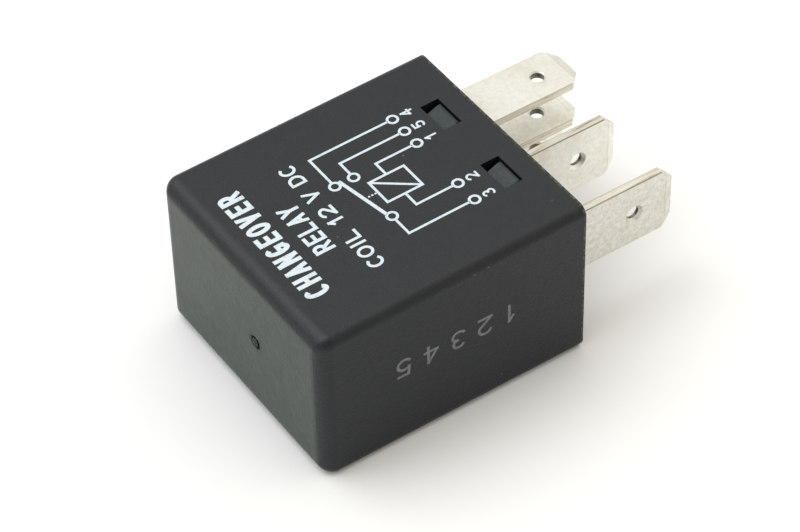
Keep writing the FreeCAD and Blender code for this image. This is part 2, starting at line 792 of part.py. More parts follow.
def make_armature():
    """Iron plate over the pole, drawn from the hinge with its pulled-in face at zero."""
    body = new_body("armature", hinged=True)
    half = s.armature_width / 2
    neck = half - s.notch_depth
    notch_end = s.notch_start + s.notch_length
    one_side = [(0, half), (s.notch_start, half), (s.notch_start, neck), (notch_end, neck),
                (notch_end, half), (s.armature_reach, half)]
    plate = new_sketch(body, "armature_plate", "YZ_Plane")
    outline(plate, [(along, s.mid_height + rise) for along, rise in one_side]
            + [(along, s.mid_height - rise) for along, rise in reversed(one_side)])
    pad(body, plate, s.armature_thickness, reverse=True)
    dress(body, "Fillet", "armature_corner_rounds", s.armature_round,
          lambda edge: runs_along(edge, X) and near(edge.CenterOfMass.y, s.armature_reach))
    rivets = new_sketch(body, "armature_rivet_holes", "YZ_Plane")
    for rise in (-1, 1):
        circle(rivets, (s.armature_rivet_reach, s.mid_height + s.rivet_spread * rise), s.rivet_shank)
    pocket(body, rivets)
    return keep(body)


def leaf_route():
    """The leaf's middle line at rest: up the yoke, round a bulge and out over the armature."""
    half = s.leaf_thickness.value / 2
    foot_y = yoke_outer_y.value - half
    lean = math.radians(s.open_angle.value)
    along = Vector(-math.sin(lean), math.cos(lean), 0)
    away = Vector(-math.cos(lean), -math.sin(lean), 0)
    hinge = Vector(hinge_x.value, hinge_y.value, 0)
    over = hinge + away * (s.armature_thickness.value + half)
    bulge_y = foot_y - s.leaf_bulge.value
    corner_reach = (bulge_y - over.y) / along.y
    return [Vector(-s.leaf_foot.value, foot_y, 0), Vector(-s.leaf_lift_start.value, foot_y, 0),
            Vector(-s.leaf_lift_end.value, bulge_y, 0), over + along * corner_reach,
            over + along * s.leaf_reach.value]


def drill(point, direction):
    """A round cutter for a rivet through the leaf."""
    reach = 2.0
    return Part.makeCylinder(s.rivet_shank.value, reach * 2, point - direction * reach, direction)


def make_leaf():
    """One bent leaf that hinges the armature, returns it and carries the moving contact."""
    half = s.leaf_thickness.value / 2
    width = s.leaf_width.value
    middle = s.mid_height.value
    bends = [s.leaf_foot_bend.value, s.leaf_lift_bend.value, s.leaf_over_bend.value]
    route = rounded_route(leaf_route(), bends)
    sides = [route.makeOffset2D(half * side, fill=False, openResult=True) for side in (1, -1)]
    ends = []
    for index in (0, -1):
        tips = [wire.OrderedVertexes[index].Point for wire in sides]
        ends.append(Part.LineSegment(tips[0], tips[1]).toShape())
    edges = Part.__sortEdges__(sides[0].Edges + sides[1].Edges + ends)
    section = Part.Face(Part.Wire(edges))
    section.translate(Vector(0, 0, middle - width / 2))
    strip = section.extrude(Vector(0, 0, width))

    lean = math.radians(s.open_angle.value)
    along = Vector(-math.sin(lean), math.cos(lean), 0)
    away = Vector(-math.cos(lean), -math.sin(lean), 0)
    hinge = Vector(hinge_x.value, hinge_y.value, middle)
    on_armature = hinge + away * s.armature_thickness.value
    cutters = [drill(on_armature + along * s.contact_reach.value, away)]
    trim_depth = 4.0
    for rise in (-1, 1):
        lift = Vector(0, 0, s.rivet_spread.value * rise)
        cutters.append(drill(on_armature + along * s.armature_rivet_reach.value + lift, away))
        cutters.append(drill(Vector(-s.yoke_rivet_depth.value, yoke_outer_y.value, middle) + lift, -Y))
        trim = Part.makeBox(trim_depth, s.leaf_reach.value, width)
        trim.translate(Vector(-trim_depth, s.tongue_start.value,
                              rise * (s.tongue_width.value + width) / 2 - width / 2))
        trim.rotate(Vector(0, 0, 0), Z, s.open_angle.value)
        trim.translate(hinge)
        cutters.append(trim)
    slot_width = s.leaf_slot_width.value
    slot = Part.makeBox((s.leaf_slot_end - s.leaf_slot_start).value, s.leaf_slot_depth.value, slot_width)
    slot.translate(Vector(-s.leaf_slot_end.value, (yoke_outer_y - s.leaf_bulge - s.leaf_thickness).value,
                          middle - slot_width / 2))
    cutters.append(slot)
    leaf = doc.addObject("Part::Feature", "contact_spring")
    leaf.Label = "contact_spring"
    leaf.Shape = strip.cut(cutters)
    place(leaf)
    return keep(leaf)


def make_moving_contact():
    """Double-headed contact rivet through the leaf's tongue."""
    under = -s.armature_thickness
    over = under - s.leaf_thickness
    body = turned("moving_contact", s.contact_reach, [
        (under + s.moving_head, 0), (under + s.moving_head, s.contact_radius),
        (under, s.contact_radius), (under, s.contact_shank), (over, s.contact_shank),
        (over, s.contact_radius), (over - s.moving_back, s.contact_radius),
        (over - s.moving_back, 0)], hinged=True)
    faces = (under + s.moving_head, over - s.moving_back)
    dress(body, "Fillet", "moving_contact_rounds", s.contact_round,
          lambda edge: any(is_ring(edge, face, s.contact_radius) for face in faces))
    return keep(body)


def make_fixed_contact(label, face, tab, back):
    """A contact rivet in a terminal's tab: head towards the moving contact, tail riveted over."""
    outward = 1 if back.value > tab.value else -1
    body = turned(label, contact_y, [
        (face, 0), (face, s.contact_radius), (tab, s.contact_radius), (tab, s.contact_shank),
        (back, s.contact_shank), (back, s.fixed_tail_radius),
        (back + s.fixed_tail * outward, s.fixed_tail_radius), (back + s.fixed_tail * outward, 0)])
    dress(body, "Fillet", label + "_rounds", s.contact_round,
          lambda edge: is_ring(edge, face, s.contact_radius))
    return keep(body)


def make_armature_rivets():
    """Two staked rivets that hold the leaf on the armature."""
    under = -s.armature_thickness - s.leaf_thickness
    body = new_body("armature_rivets", hinged=True)
    shanks = new_sketch(body, "armature_rivet_shanks", "YZ_Plane")
    heads = new_sketch(body, "armature_rivet_heads", "YZ_Plane", under)
    for rise in (-1, 1):
        centre = (s.armature_rivet_reach, s.mid_height + s.rivet_spread * rise)
        circle(shanks, centre, s.rivet_shank)
        circle(heads, centre, s.rivet_head)
    body.AllowCompound = True
    pad(body, shanks, s.armature_thickness + s.leaf_thickness, reverse=True)
    pad(body, heads, s.rivet_rise, reverse=True)
    dress(body, "Fillet", "armature_rivet_rounds", s.rivet_round,
          lambda edge: is_ring(edge, under - s.rivet_rise, s.rivet_head))
    return keep(body)


def make_side_rivets(label, places, shank_radius, head_y, head_radius, shank_end_y):
    """Rivets along Y in the yoke's leg, with their heads outside."""
    body = new_body(label)
    body.AllowCompound = True
    shanks = new_sketch(body, label + "_shanks", "XZ_Plane", -head_y)
    heads = new_sketch(body, label + "_heads", "XZ_Plane", -head_y)
    for centre in places:
        circle(shanks, centre, shank_radius)
        circle(heads, centre, head_radius)
    pad(body, shanks, shank_end_y - head_y, reverse=True)
    pad(body, heads, s.rivet_rise)
    dress(body, "Fillet", label + "_rounds", s.rivet_round,
          lambda edge: isinstance(edge.Curve, Part.Circle)
          and near(edge.CenterOfMass.y, head_y - s.rivet_rise)
          and near(edge.Curve.Radius, head_radius))
    return keep(body)


def export():
    """Check every object and write each piece's shape."""
    os.makedirs("parts", exist_ok=True)
    for thing in doc.Objects:
        if "Invalid" in thing.State or "Error" in thing.State:
            raise RuntimeError(f"{thing.Name} is {thing.State}")
    for piece in NODES:
        shape = piece.Shape
        if shape.isNull() or not shape.isValid() or not shape.Solids:
            raise RuntimeError(piece.Label + " has no valid solid")
        shape.exportStep(f"parts/{piece.Label}.step")
        box = shape.BoundBox
        print(f"{piece.Label:24s} {len(shape.Solids)} solid {shape.Volume:9.3f} mm3  "
              f"x {box.XMin:7.2f}..{box.XMax:7.2f}  y {box.YMin:7.2f}..{box.YMax:7.2f}  "
              f"z {box.ZMin:6.2f}..{box.ZMax:6.2f}")


terminals = [make_coil_terminal("terminal_1", 1), make_coil_terminal("terminal_2", -1),
             make_common_terminal(), make_break_terminal(), make_work_terminal()]
make_cover()
make_base(terminals)
make_yoke()
make_core()
make_bobbin()
make_winding()
make_lead("coil_lead_start", 1)
make_lead("coil_lead_end", -1)
make_solder("solder_joint_1", 1)
make_solder("solder_joint_2", -1)
make_armature()
make_leaf()
make_moving_contact()
make_fixed_contact("fixed_contact_no", fixed_open_x, open_tab_x, open_tab_x + s.blade_thickness)
make_fixed_contact("fixed_contact_nc", fixed_closed_x, closed_tab_x, closed_tab_x - s.blade_thickness)
make_armature_rivets()
make_side_rivets("yoke_rivets",
                 [(-s.yoke_rivet_depth, s.mid_height + s.rivet_spread * rise) for rise in (-1, 1)],
                 s.rivet_shank, yoke_outer_y - s.leaf_thickness, s.rivet_head, -s.yoke_side)
make_side_rivets("common_rivet", [(-s.common_rivet_depth, s.mid_height)], s.contact_shank,
                 -s.common_strip_side - half_blade, s.rivet_head, -s.yoke_side)
doc.recompute()
export()
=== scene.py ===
"""Looks of the plug-in relay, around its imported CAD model. Lengths are in metres."""
import math
import random

import bmesh
import bpy
from mathutils import Matrix, Vector


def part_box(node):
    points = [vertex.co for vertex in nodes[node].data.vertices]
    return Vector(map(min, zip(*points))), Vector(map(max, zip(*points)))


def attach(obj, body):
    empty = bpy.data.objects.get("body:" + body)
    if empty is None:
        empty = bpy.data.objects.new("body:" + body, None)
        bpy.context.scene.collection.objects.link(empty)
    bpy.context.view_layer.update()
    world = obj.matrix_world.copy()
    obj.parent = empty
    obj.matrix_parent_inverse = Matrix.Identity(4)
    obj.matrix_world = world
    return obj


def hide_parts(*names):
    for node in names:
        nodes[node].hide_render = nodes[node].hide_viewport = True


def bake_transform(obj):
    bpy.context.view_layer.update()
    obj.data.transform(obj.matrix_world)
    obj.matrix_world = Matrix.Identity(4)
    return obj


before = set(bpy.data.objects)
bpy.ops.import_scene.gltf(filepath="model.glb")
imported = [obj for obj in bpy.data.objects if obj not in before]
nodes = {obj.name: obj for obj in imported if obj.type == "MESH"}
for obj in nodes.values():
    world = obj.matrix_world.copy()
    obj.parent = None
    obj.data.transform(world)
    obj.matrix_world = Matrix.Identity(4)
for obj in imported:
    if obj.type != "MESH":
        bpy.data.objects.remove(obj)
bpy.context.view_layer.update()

random.seed(7)

MM = 0.001
COVER_LOW, COVER_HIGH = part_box("cover")
RIM_X = COVER_HIGH.x
COVER_LENGTH = COVER_HIGH.x - COVER_LOW.x
TOP_DRAFT = 0.5 * MM  # how far the printed face falls from the rim to the closed end
PIP = (-2.0 * MM, 7.8 * MM)  # Y and Z of the closed end's moulding pip
INK_LIFT = 0.012 * MM  # the ink's thickness
INK_STEP = 0.0002 * MM  # how much higher each island is than the last, so that none coincide

SKY_LEVEL = 0.72
# Each patch of sky: its direction, the cosines where it starts and is full, and what it adds.
SKY_OVERHEAD = ((-0.3, 0.25, 0.92), 0.6, 1.0, 1.15)
SKY_NEAR_SHADE = ((0.05, -0.70, 0.65), 0.55, 1.0, -0.3)
SKY_WARM_RIGHT = ((0.75, -0.35, 0.55), 0.3, 1.0, 0.5)
KEY_POWER = 0.5


# ---------------------------------------------------------------- camera, light and floor

def make_camera():
    """The camera looks down on the printed side, past the closed end's near corner."""
    azimuth, elevation, roll = (math.radians(angle) for angle in (-33.38, 45.02, -1.58))
    distance = 272.37 * MM
    slide_right, slide_up = -8.33 * MM, 0.01 * MM
    back = Vector((math.sin(azimuth) * math.cos(elevation),
                   -math.cos(azimuth) * math.cos(elevation), math.sin(elevation)))
    level = Vector((math.cos(azimuth), math.sin(azimuth), 0))
    upright = back.cross(level)
    right = level * math.cos(roll) + upright * math.sin(roll)
    up = upright * math.cos(roll) - level * math.sin(roll)
    data = bpy.data.cameras.new("camera")
    data.sensor_width = 36
    data.lens = 147.7
    data.clip_start = 0.01
    data.clip_end = 10
    camera = bpy.data.objects.new("camera", data)
    spot = Vector((RIM_X, 0, 0)) + back * distance + right * slide_right + up * slide_up
    turn = Matrix((right, up, back)).transposed().to_4x4()
    camera.matrix_world = Matrix.Translation(spot) @ turn
    bpy.context.scene.collection.objects.link(camera)
    bpy.context.scene.camera = camera


def make_sky():
    """A bright even room, lighter overhead and to the right, dimmer high on the near side."""
    world = bpy.data.worlds.new("sky")
    bpy.context.scene.world = world
    world.use_nodes = True
    tree = world.node_tree
    ray = tree.nodes.new("ShaderNodeTexCoord").outputs["Generated"]
    glow = None
    for towards, start, full, gain in (SKY_OVERHEAD, SKY_NEAR_SHADE, SKY_WARM_RIGHT):
        along = tree.nodes.new("ShaderNodeVectorMath")
        along.operation = "DOT_PRODUCT"
        along.inputs[1].default_value = Vector(towards).normalized()
        tree.links.new(ray, along.inputs[0])
        share = tree.nodes.new("ShaderNodeMapRange")
        share.interpolation_type = "SMOOTHSTEP"
        share.inputs["From Min"].default_value = start
        share.inputs["From Max"].default_value = full
        share.inputs["To Max"].default_value = gain
        tree.links.new(along.outputs["Value"], share.inputs["Value"])
        total = tree.nodes.new("ShaderNodeMath")
        tree.links.new(share.outputs["Result"], total.inputs[1])
        if glow is None:
            total.inputs[0].default_value = SKY_LEVEL
        else:
            tree.links.new(glow, total.inputs[0])
        glow = total.outputs["Value"]

    # The last patch, to the right, is the warm one.
    warmth = tree.nodes.new("ShaderNodeMix")
    warmth.data_type = "RGBA"
    warmth.inputs[6].default_value = (1.0, 0.992, 0.965, 1)
    warmth.inputs[7].default_value = (1.0, 0.90, 0.72, 1)
    tree.links.new(share.outputs["Result"], warmth.inputs["Factor"])
    background = tree.nodes["Background"]
    tree.links.new(warmth.outputs[2], background.inputs["Color"])
    tree.links.new(glow, background.inputs["Strength"])


def make_key():
    """One big soft lamp up and to the back left."""
    data = bpy.data.lights.new("key_light", "AREA")
    data.size = 0.3
    data.energy = KEY_POWER
    data.color = (0.9, 0.96, 1.0)
    light = bpy.data.objects.new("key_light", data)
    light.location = (-0.15, 0.14, 0.36)
    light.rotation_euler = (-light.location).to_track_quat("-Z", "Y").to_euler()
    bpy.context.scene.collection.objects.link(light)


def make_floor():
    """A plain sheet of white paper under the relay."""
    mesh = bpy.data.meshes.new("floor")
    reach = 3.0
    corners = [(-reach, -reach, 0), (reach, -reach, 0), (reach, reach, 0), (-reach, reach, 0)]
    mesh.from_pydata(corners, [], [(0, 1, 2, 3)])
    floor = bpy.data.objects.new("floor", mesh)
    bpy.context.scene.collection.objects.link(floor)
    paper = Shader("floor_paper")
    tone = paper.noise(9, detail=3)
    paper.colour(paper.ramp(tone, [(0.3, (0.825, 0.827, 0.830)), (0.7, (0.845, 0.847, 0.850))]))
    paper.set(Roughness=0.75)
    mesh.materials.append(paper.material)


# ---------------------------------------------------------------- materials

class Shader:
    """A node material: one Principled shader fed by textures in the object's own coordinates."""

    def __init__(self, name):
        self.material = bpy.data.materials.new(name)
        self.material.use_nodes = True
        self.tree = self.material.node_tree
        self.surface = self.tree.nodes["Principled BSDF"]
        self.place = self.add("ShaderNodeTexCoord").outputs["Object"]

    def add(self, kind, **settings):
        node = self.tree.nodes.new(kind)
        for key, value in settings.items():
            setattr(node, key, value)
        return node

    def link(self, value, socket):
        """Feed a socket from an output, a colour or a number."""
        if isinstance(value, bpy.types.NodeSocket):
            self.tree.links.new(value, socket)
        elif isinstance(value, tuple):
            socket.default_value = (*value, 1)[:len(socket.default_value)]
        else:
            socket.default_value = value

    def set(self, **sockets):
        """Fixed values on the shader's own sockets, underscores for spaces."""
        for key, value in sockets.items():
            self.link(value, self.surface.inputs[key.replace("_", " ")])

    def colour(self, source):
        self.link(source, self.surface.inputs["Base Color"])

    def roughness(self, source, low, high):
        """Roughness that follows a texture between two values."""
        self.link(self.spread(source, low, high), self.surface.inputs["Roughness"])

    def spread(self, source, low, high):
        """A texture from 0 to 1 stretched between two values."""
        node = self.add("ShaderNodeMapRange")
        self.link(source, node.inputs["Value"])
        node.inputs["To Min"].default_value = low
        node.inputs["To Max"].default_value = high
        return node.outputs["Result"]

    def stretched(self, stretch):
        """The object's coordinates, scaled differently along each axis."""
        if stretch is None:
            return self.place
        node = self.add("ShaderNodeMapping")
        self.link(self.place, node.inputs["Vector"])
        node.inputs["Scale"].default_value = stretch
        return node.outputs["Vector"]

    def noise(self, scale, detail=4.0, rough=0.5, stretch=None):
        node = self.add("ShaderNodeTexNoise")
        self.link(self.stretched(stretch), node.inputs["Vector"])
        node.inputs["Scale"].default_value = scale
        node.inputs["Detail"].default_value = detail
        node.inputs["Roughness"].default_value = rough
        return node.outputs["Fac"]

    def cells(self, scale, stretch=None):
        """Distance to the nearest of many scattered points, and that point's random number."""
        node = self.add("ShaderNodeTexVoronoi")
        self.link(self.stretched(stretch), node.inputs["Vector"])
        node.inputs["Scale"].default_value = scale
        split = self.add("ShaderNodeSeparateColor")
        self.link(node.outputs["Color"], split.inputs[0])
        return node.outputs["Distance"], split.outputs[0]

    def ramp(self, source, stops):
        """A colour ramp from (place, colour) stops."""
        node = self.add("ShaderNodeValToRGB")
        self.link(source, node.inputs["Fac"])
        bar = node.color_ramp.elements
        while len(bar) < len(stops):
            bar.new(0.5)
        for element, (place, colour) in zip(bar, stops):
            element.position = place
            element.color = (*colour, 1) if isinstance(colour, tuple) else (colour,) * 3 + (1,)
        return node.outputs["Color"]

    def mix(self, factor, first, second):
        """A colour between two."""
        node = self.add("ShaderNodeMix", data_type="RGBA")
        self.link(factor, node.inputs["Factor"])
        self.link(first, node.inputs[6])
        self.link(second, node.inputs[7])
        return node.outputs[2]

    def maths(self, operation, first, second=0.0, third=0.0):
        node = self.add("ShaderNodeMath", operation=operation)
        for value, socket in zip((first, second, third), node.inputs):
            self.link(value, socket)
        return node.outputs[0]

    def times(self, first, second):
        return self.maths("MULTIPLY", first, second)

    def parts(self, vector):
        """A vector's outputs along X, Y and Z."""
        split = self.add("ShaderNodeSeparateXYZ")
        self.link(vector, split.inputs[0])
        return split.outputs

    def facing(self, axis):
        """How much the surface faces along an object axis, either way, from 0 to 1."""
        normal = self.add("ShaderNodeTexCoord").outputs["Normal"]
        return self.maths("ABSOLUTE", self.parts(normal)[axis])

    def bump(self, height, depth, strength=1.0):
        """Surface relief of a real depth; several calls add up."""
        node = self.add("ShaderNodeBump")
        node.inputs["Strength"].default_value = strength
        node.inputs["Distance"].default_value = depth
        self.link(height, node.inputs["Height"])
        socket = self.surface.inputs["Normal"]
        if socket.is_linked:
            self.tree.links.new(socket.links[0].from_socket, node.inputs["Normal"])
        self.tree.links.new(node.outputs["Normal"], socket)


def toned(colour, tone):
    """A colour made darker or brighter."""
    return tuple(part * tone for part in colour)


def black_plastic(name, dark, light, grain_depth, gloss):
    """Charcoal moulded plastic with fine spark-eroded grain and faint blotches, and painted glints:
    the grain's crests are coloured lighter.
    """
    shader = Shader(name)
    blotch = shader.noise(420, detail=6, rough=0.62)
    grain = shader.noise(4600, detail=4, rough=0.65)
    body = shader.ramp(blotch, [(0.32, dark), (0.7, light)])
    # Painted highlight: the grain's crests are coloured lighter, standing for glints on them.
    crest_glint = shader.ramp(grain, [(0.38, 0.0), (0.68, 1.0)])
    body = shader.mix(shader.spread(crest_glint, 0.0, 0.45), body, toned(light, 1.9))
    shader.colour(body)
    shader.roughness(blotch, 0.33, 0.47)
    shader.bump(grain, grain_depth, 1.0)
    shader.bump(shader.noise(1300, detail=3), grain_depth, 0.5)
    shader.set(Specular_IOR_Level=gloss)
    return shader, body


def cover_plastic():
    """The cover's plastic, duller on its long sides, with a few specks of dust.

    The closed end's flat face has a lighter, greener mottled colour, partly mottle and partly
    painted light for the bright floor it reflects, and the rim's edge is worn brown in places.
    """
    gloss, side_gloss, closed_end_gloss = 0.39, 0.29, 0.06
    end_light_and_mottle, worn, dust = (0.024, 0.043, 0.027), (0.085, 0.074, 0.052), (0.30, 0.30, 0.28)
    shader, body = black_plastic("cover_plastic", (0.0040, 0.0054, 0.0070),
                                 (0.0064, 0.0086, 0.0108), 0.04 * MM, gloss)
    along = shader.parts(shader.place)["X"]

    # Painted light: the closed end's flat face is coloured lighter and greener in mottled clouds,
    # standing for the reflection of the bright floor.
    behind = shader.maths("LESS_THAN", along, COVER_LOW.x + 2 * MM)
    closed_end = shader.times(behind, shader.maths("GREATER_THAN", shader.facing("X"), 0.96))
    cloud = shader.ramp(shader.noise(1300, detail=8, rough=0.8), [(0.33, 0.15), (0.67, 1.0)])
    body = shader.mix(shader.times(closed_end, cloud), body, end_light_and_mottle)
    sides = shader.maths("POWER", shader.facing("Y"), 2.0)
    sheen = shader.maths("ADD", shader.spread(sides, gloss, side_gloss),
                         shader.times(closed_end, closed_end_gloss))
    shader.link(sheen, shader.surface.inputs["Specular IOR Level"])

    ragged = shader.maths("GREATER_THAN", shader.noise(3600, detail=4, rough=0.7), 0.52)
    at_rim = shader.maths("GREATER_THAN", along, RIM_X - 0.2 * MM)
    arris = shader.times(at_rim, shader.spread(shader.facing("X"), 1.0, 0.25))
    body = shader.mix(shader.times(ragged, arris), body, worn)

    distance, chance = shader.cells(760)
    near = shader.maths("LESS_THAN", distance, 0.045)
    rare = shader.maths("GREATER_THAN", chance, 0.86)
    speck = shader.times(shader.times(near, rare), 0.5)
    shader.colour(shader.mix(speck, body, dust))
    return shader.material


def base_plastic():
    """The base's plastic, coloured lighter in random patches."""
    shader, body = black_plastic("base_plastic", (0.0040, 0.0085, 0.0100), (0.0085, 0.0150, 0.0170),
                                 0.03 * MM, 0.36)
    # Lighter in random patches all over the base.
    lighter_patch = shader.ramp(shader.noise(2100, detail=7, rough=0.78), [(0.46, 0.0), (0.66, 0.75)])
    shader.colour(shader.mix(lighter_patch, body, (0.026, 0.037, 0.040)))
    return shader.material


# Colours of the blades' plate and of their sheared edges, as ramp stops.
TIN = ((0.30, (0.70, 0.67, 0.57)), (0.44, (0.79, 0.78, 0.72)), (0.66, (0.83, 0.83, 0.79)))
SHEARED = ((0.33, (0.33, 0.24, 0.15)), (0.42, (0.66, 0.61, 0.51)), (0.62, (0.82, 0.80, 0.73)))
HOLE_REACH = 1.0 * MM  # half the square round a blade's hole that its wall and bevels stay in


def tinned_blade(name, layout, tone, speckle, edge_light_and_shade, edge_line):
    """Dull tin plate, grainy and stained, with brown lines and streaks along its sheared edges,
    painted shade on its hole's wall and along the crease of its tip's bevel.

    layout is the axis that the flat faces look along, the axis of its width, the blade's middle
    along that, and where its hole and its tip's bevel are along X. tone and the edges' tone are
    painted light and shade: they make the plate and its sheared edges darker or brighter for how
    lit each blade is. speckle makes it grainier; edge_line is how strong the brown lines are.
    """
    flat_axis, wide_axis, middle, hole_at, bevel_at = layout
    shader = Shader(name)
    rolling = shader.noise(1500, detail=4, stretch=(0.07, 1, 1))
    stain = shader.noise(300, detail=6, rough=0.65)
    mottle = shader.noise(2300, detail=5, rough=0.75)
    streak = shader.noise(3400, detail=5, rough=0.7, stretch=(0.09, 1, 1))
    facing = shader.facing(flat_axis)
    place = shader.parts(shader.place)
    along = place["X"]

    speckled, rolled, crease_shade_colour = (0.50, 0.47, 0.38), (0.88, 0.87, 0.84), (0.42, 0.38, 0.30)
    # Painted light and shade: tone scales the plate's colours, brighter for blades that lie in the
    # others' shade.
    tin = shader.ramp(stain, [(spot, toned(colour, tone)) for spot, colour in TIN])
    grain = shader.ramp(mottle, [(0.38, 1.0), (0.62, 0.0)])
    tin = shader.mix(shader.spread(grain, 0.0, speckle), tin, toned(speckled, tone))
    tin = shader.mix(shader.spread(rolling, 0.0, 0.2), tin, toned(rolled, tone))
    # Painted shade: a thin darker line along the crease where the tip's bevel begins.
    bevel_crease_shade = shader.maths("COMPARE", along, bevel_at, 0.035 * MM)
    tin = shader.mix(shader.times(bevel_crease_shade, 0.35), tin, crease_shade_colour)

    # brown is for the sheared edges' lines; dark is painted shade for the hole's wall.
    brown, dark = (0.235, 0.205, 0.145), (0.07, 0.07, 0.06)
    # Painted light and shade: the sheared edges' colours are scaled for how lit this blade's edges
    # are.
    sheared = shader.ramp(streak, [(spot, toned(colour, edge_light_and_shade)) for spot, colour in SHEARED])
    outside = shader.maths("GREATER_THAN", along, RIM_X)
    thin_side = shader.times(shader.maths("LESS_THAN", facing, 0.3), outside)
    skin = shader.mix(thin_side, tin, sheared)
    inner = shader.times(shader.maths("COMPARE", along, hole_at, HOLE_REACH),
                         shader.maths("COMPARE", place[wide_axis], middle, HOLE_REACH))
    round_off = shader.times(shader.maths("COMPARE", facing, 0.55, 0.33),
                             shader.maths("SUBTRACT", outside, inner))
    line = shader.times(round_off, shader.spread(streak, 0.3 * edge_line, 1.2 * edge_line))
    skin = shader.mix(line, skin, brown)
    # Painted shade: the hole's steep wall is coloured near black, standing for the shade and dark
    # reflection inside it.
    hole_wall_shade = shader.times(inner, shader.maths("LESS_THAN", facing, 0.35))
    shader.colour(shader.mix(shader.times(hole_wall_shade, 0.8), skin, dark))
    shader.set(Metallic=0.7)
    shader.roughness(mottle, 0.32, 0.52)
    shader.bump(rolling, 0.008 * MM, 0.5)
    shader.bump(mottle, 0.05 * MM * speckle, 0.8)
    shader.bump(streak, 0.02 * MM, 0.4)
    return shader.material


def ink(name, worn, full):
    """Pad-printed ink, slightly uneven between a worn and a full colour."""
    shader = Shader(name)
    patch = shader.noise(2600, detail=4, rough=0.6)
    shader.colour(shader.ramp(patch, [(0.3, worn), (0.5, full)]))
    shader.roughness(patch, 0.45, 0.62)
    shader.bump(patch, 0.003 * MM, 0.5)
    return shader.material


def metal(name, shades, roughness, scale, stretch=None, metallic=1.0, relief=0.004 * MM):
    """A metal whose colour and polish wander between shades, with fine relief."""
    shader = Shader(name)
    wander = shader.noise(scale, detail=5, rough=0.6, stretch=stretch)
    step = 0.5 / max(1, len(shades) - 1)
    shader.colour(shader.ramp(wander, [(0.28 + step * index, shade)
                                       for index, shade in enumerate(shades)]))
    shader.set(Metallic=metallic)
    shader.roughness(wander, *roughness)
    shader.bump(shader.noise(scale * 6, detail=3, stretch=stretch), relief, 0.6)
    return shader.material


def pale_plastic():
    """Natural glass-filled moulding of the coil former."""
    shader = Shader("bobbin_plastic")
    blotch = shader.noise(420, detail=5)
    fibre = shader.noise(2600, detail=3, stretch=(0.3, 1, 1))
    tone = shader.ramp(blotch, [(0.3, (0.50, 0.47, 0.40)), (0.7, (0.62, 0.60, 0.53))])
    shader.colour(shader.mix(shader.spread(fibre, 0.0, 0.25), tone, (0.42, 0.39, 0.32)))
    shader.roughness(blotch, 0.38, 0.55)
    shader.bump(fibre, 0.01 * MM, 0.5)
    shader.set(Subsurface_Weight=0.05)
    return shader.material


# ---------------------------------------------------------------- mesh helpers

def new_piece(name, mesh, body, material):
    """An object of the relay: it rides on a body and takes the material it is given."""
    piece = bpy.data.objects.new(name, mesh)
    bpy.context.scene.collection.objects.link(piece)
    mesh.materials.clear()
    mesh.materials.append(material)
    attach(piece, body)
    return piece


# The pip's torn plastic, ring by ring from its middle out, in millimetres: radius, height over
# the closed end, how rough the height is, and whether the ring's outline is ragged too.
PIP_RINGS = ((0.10, 0.05, 0.03, True), (0.20, 0.04, 0.03, True), (0.30, 0.04, 0.03, True),
             (0.40, 0.02, 0.015, True), (0.44, -0.24, 0.08, True), (0.57, -0.22, 0.12, True),
             (0.64, -0.04, 0.04, True), (0.72, 0.0, 0.006, False), (0.83, 0.0, 0.003, False),
             (0.845, -0.34, 0.0, False))
PIP_TOP = 0.04 * MM


def torn_pip(material):
    """The torn-off plastic left in the ring-shaped recess of the closed end's moulding pip."""
    spokes = 32
    lump = bmesh.new()
    sway = [random.uniform(-0.16, 0.06) for _ in range(spokes)]
    rings = []
    for radius, height, rough, ragged in PIP_RINGS:
        ring = []
        for spoke in range(spokes):
            turn = math.tau * spoke / spokes
            out = radius * MM * (1 + (sway[spoke] if ragged else 0.0))
            up = (height + random.uniform(-rough, rough)) * MM
            ring.append(lump.verts.new((COVER_LOW.x - up, PIP[0] + out * math.cos(turn),
                                        PIP[1] + out * math.sin(turn))))
        rings.append(ring)
    top = lump.verts.new((COVER_LOW.x - PIP_TOP, *PIP))
    for spoke in range(spokes):
        after = (spoke + 1) % spokes
        lump.faces.new((top, rings[0][spoke], rings[0][after]))
        for inner, outer in zip(rings, rings[1:]):
            lump.faces.new((inner[spoke], outer[spoke], outer[after], inner[after]))
    lump.faces.new(rings[-1][::-1])
    bmesh.ops.recalc_face_normals(lump, faces=lump.faces)
    mesh = bpy.data.meshes.new("torn_pip")
    lump.to_mesh(mesh)
    lump.free()
    new_piece("torn_pip", mesh, "cover", material)


# ---------------------------------------------------------------- printing on the cover

def on_face(from_rim, across, lift):
    """A point over the cover's printed face, at a distance in from the rim (in millimetres)."""
    along = from_rim * MM
    height = COVER_HIGH.z - TOP_DRAFT * along / COVER_LENGTH
    return Vector((RIM_X - along, across * MM, height + lift))


def on_side(down, from_rim, lift):
    """A point over the cover's near side, down from its top and in from the rim (millimetres)."""
    return Vector((RIM_X - from_rim * MM, COVER_LOW.y - lift, COVER_HIGH.z - down * MM))


